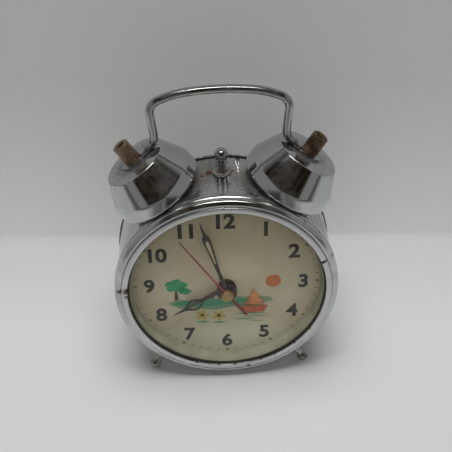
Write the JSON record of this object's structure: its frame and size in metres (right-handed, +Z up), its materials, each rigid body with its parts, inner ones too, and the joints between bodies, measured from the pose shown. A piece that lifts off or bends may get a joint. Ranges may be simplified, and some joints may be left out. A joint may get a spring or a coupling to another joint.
{
  "type": "mechanical alarm clock",
  "caption": "Wind-up alarm clock with a round metal case, domed glass, two bells on slanted posts, a bent wire handle, ball feet and a meshing wheel movement inside.",
  "frame": {"origin": "centre of the overall box at the ground, z = 0 where the two feet and the rear rim rest", "axes": "+Z up, -Y towards the viewer of the dial, +X to the right of the dial as seen from the front"},
  "size_m": [0.1118, 0.0615, 0.1573],
  "materials": {
    "black_hand": "satin",
    "black_plastic": "gloss",
    "blued_steel": "blued",
    "boat_paint": "satin print",
    "bright_ring": "polished",
    "brown_hand": "satin",
    "bush_brass": "polished",
    "chrome_bell": "polished",
    "chrome_case": "polished, lightly worn, small rust spots",
    "clear": "clear",
    "cream_cone": "matt",
    "dark_steel": "oiled",
    "dial_paint": "satin print",
    "nut_brass": "worn",
    "plate_brass": "satin",
    "red_hand": "gloss",
    "rust_chrome": "polished, rusty at its edge",
    "steel_grey": "satin"
  },
  "bodies": {
    "frame": {"case": "chrome_case", "bezel": "chrome_case", "glass": "clear", "glass_ring": "bright_ring", "dial": "dial_paint", "dial_ring": "cream_cone", "back_cover": "steel_grey", "back_cover_screws": "dark_steel", "left_bell": "chrome_bell", "right_bell": "chrome_bell", "bell_posts": "dark_steel", "handle": "chrome_case", "bell_nuts": "nut_brass", "feet": "chrome_case", "foot_nuts": "dark_steel", "stop_ferrule": "rust_chrome", "front_plate": "plate_brass", "rear_plate": "plate_brass", "pillars": "dark_steel", "pillar_nuts": "dark_steel", "time_mainspring": "blued_steel", "alarm_mainspring": "blued_steel", "hairspring": "blued_steel", "balance_screws": "dark_steel", "alarm_release_spring": "dark_steel"},
    "time_great": {"time_great_wheel": "plate_brass"},
    "time_winding": {"time_winding_arbor": "dark_steel", "time_winding_key": "plate_brass"},
    "centre": {"centre_wheel": "plate_brass"},
    "hand_setting": {"setting_arbor": "dark_steel", "time_setting_knob": "black_plastic", "clutch_spring": "dark_steel"},
    "third": {"third_wheel": "plate_brass", "third_arbor": "dark_steel"},
    "seconds": {"fourth_wheel": "plate_brass", "seconds_arbor": "dark_steel", "second_hand": "red_hand", "second_hand_bush": "bush_brass"},
    "escape": {"escape_wheel": "plate_brass", "escape_arbor": "dark_steel"},
    "pallet": {"pallet_lever": "dark_steel", "rocking_boat": "boat_paint"},
    "balance": {"balance_wheel": "plate_brass", "balance_staff": "dark_steel"},
    "regulator_tail": {"regulator": "dark_steel"},
    "minute_change": {"minute_wheel": "plate_brass"},
    "minute": {"minute_pipe": "dark_steel", "minute_hand": "black_hand"},
    "hour": {"hour_wheel": "plate_brass", "hour_hand": "black_hand"},
    "alarm_dial": {"alarm_wheel": "plate_brass", "alarm_hand": "brown_hand"},
    "alarm_setting": {"alarm_setting_arbor": "dark_steel", "alarm_setting_knob": "black_plastic"},
    "alarm_great": {"alarm_great_wheel": "plate_brass"},
    "alarm_winding": {"alarm_winding_arbor": "dark_steel", "alarm_winding_key": "plate_brass"},
    "alarm_escape": {"alarm_escape_wheel": "plate_brass"},
    "hammer": {"hammer_lever": "dark_steel"},
    "stop": {"stop_button": "chrome_case"}
  },
  "joints": [
    {"name": "time_great_turn", "type": "hinge", "parent": "frame", "child": "time_great", "pos_m": [-0.02716, 0.00928, 0.06053], "axis": [0, -0.9945, 0.1045], "continuous": true},
    {"name": "time_winding_turn", "type": "hinge", "parent": "time_great", "child": "time_winding", "pos_m": [-0.02716, 0.00749, 0.06072], "axis": [0, -0.9945, 0.1045], "continuous": true},
    {"name": "centre_turn", "type": "hinge", "parent": "frame", "child": "centre", "pos_m": [-0.01, -0.00387, 0.07511], "axis": [0, -0.9945, 0.1045], "continuous": true},
    {"name": "hand_setting_turn", "type": "hinge", "parent": "frame", "child": "hand_setting", "pos_m": [-0.01, -0.00924, 0.07567], "axis": [0, -0.9945, 0.1045], "continuous": true},
    {"name": "third_turn", "type": "hinge", "parent": "frame", "child": "third", "pos_m": [0.00931, -0.0013, 0.07084], "axis": [0, -0.9945, 0.1045], "continuous": true},
    {"name": "seconds_turn", "type": "hinge", "parent": "frame", "child": "seconds", "pos_m": [0, 0.00101, 0.0565], "axis": [0, -0.9945, 0.1045], "continuous": true},
    {"name": "escape_turn", "type": "hinge", "parent": "frame", "child": "escape", "pos_m": [0.00391, 0.00326, 0.04158], "axis": [0, -0.9945, 0.1045], "continuous": true},
    {"name": "pallet_rock", "type": "hinge", "parent": "frame", "child": "pallet", "pos_m": [0.013, 0.00511, 0.03998], "axis": [0, -0.9945, 0.1045], "range_deg": [-5, 5]},
    {"name": "balance_swing", "type": "hinge", "parent": "frame", "child": "balance", "pos_m": [0.022, -0.0009, 0.03256], "axis": [0, -0.9945, 0.1045], "range_deg": [-200, 200]},
    {"name": "regulator_turn", "type": "hinge", "parent": "frame", "child": "regulator_tail", "pos_m": [0.022, 0.01024, 0.03139], "axis": [0, -0.9945, 0.1045], "range_deg": [-20, 20]},
    {"name": "minute_change_turn", "type": "hinge", "parent": "frame", "child": "minute_change", "pos_m": [-0.0138, -0.01049, 0.06184], "axis": [0, -0.9945, 0.1045], "continuous": true},
    {"name": "minute_turn", "type": "hinge", "parent": "frame", "child": "minute", "pos_m": [0, -0.02266, 0.05898], "axis": [0, -0.9945, 0.1045], "continuous": true},
    {"name": "hour_turn", "type": "hinge", "parent": "frame", "child": "hour", "pos_m": [0, -0.01957, 0.05866], "axis": [0, -0.9945, 0.1045], "continuous": true},
    {"name": "alarm_dial_turn", "type": "hinge", "parent": "frame", "child": "alarm_dial", "pos_m": [0, -0.01401, 0.05808], "axis": [0, -0.9945, 0.1045], "continuous": true},
    {"name": "alarm_setting_turn", "type": "hinge", "parent": "frame", "child": "alarm_setting", "pos_m": [-0.00534, -0.01554, 0.0435], "axis": [0, -0.9945, 0.1045], "continuous": true},
    {"name": "alarm_great_turn", "type": "hinge", "parent": "frame", "child": "alarm_great", "pos_m": [0.028, 0.00908, 0.05867], "axis": [0, -0.9945, 0.1045], "continuous": true},
    {"name": "alarm_winding_turn", "type": "hinge", "parent": "alarm_great", "child": "alarm_winding", "pos_m": [0.028, 0.00729, 0.05885], "axis": [0, -0.9945, 0.1045], "continuous": true},
    {"name": "alarm_escape_turn", "type": "hinge", "parent": "frame", "child": "alarm_escape", "pos_m": [0.02448, 0.00659, 0.07898], "axis": [0, -0.9945, 0.1045], "continuous": true},
    {"name": "hammer_swing", "type": "hinge", "parent": "frame", "child": "hammer", "pos_m": [0.01724, 0.00531, 0.0859], "axis": [0, -0.9945, 0.1045], "range_deg": [-1.5, 1.5]},
    {"name": "stop_press", "type": "slide", "parent": "frame", "child": "stop", "axis": [0, -0.1045, -0.9945], "range_m": [0, 0.003], "stiffness_N_per_m": 60, "springref_m": -0.002}
  ],
  "couplings": [
    {"joint": "minute_turn", "follows": "hand_setting_turn", "ratio": 1},
    {"joint": "minute_change_turn", "follows": "hand_setting_turn", "ratio": -0.33333},
    {"joint": "hour_turn", "follows": "hand_setting_turn", "ratio": 0.083333},
    {"joint": "third_turn", "follows": "seconds_turn", "ratio": -0.13333},
    {"joint": "centre_turn", "follows": "seconds_turn", "ratio": 0.016667},
    {"joint": "time_great_turn", "follows": "seconds_turn", "ratio": -0.0020833},
    {"joint": "escape_turn", "follows": "seconds_turn", "ratio": -8},
    {"joint": "alarm_dial_turn", "follows": "alarm_setting_turn", "ratio": -0.25},
    {"joint": "alarm_escape_turn", "follows": "alarm_great_turn", "ratio": -8}
  ]
}
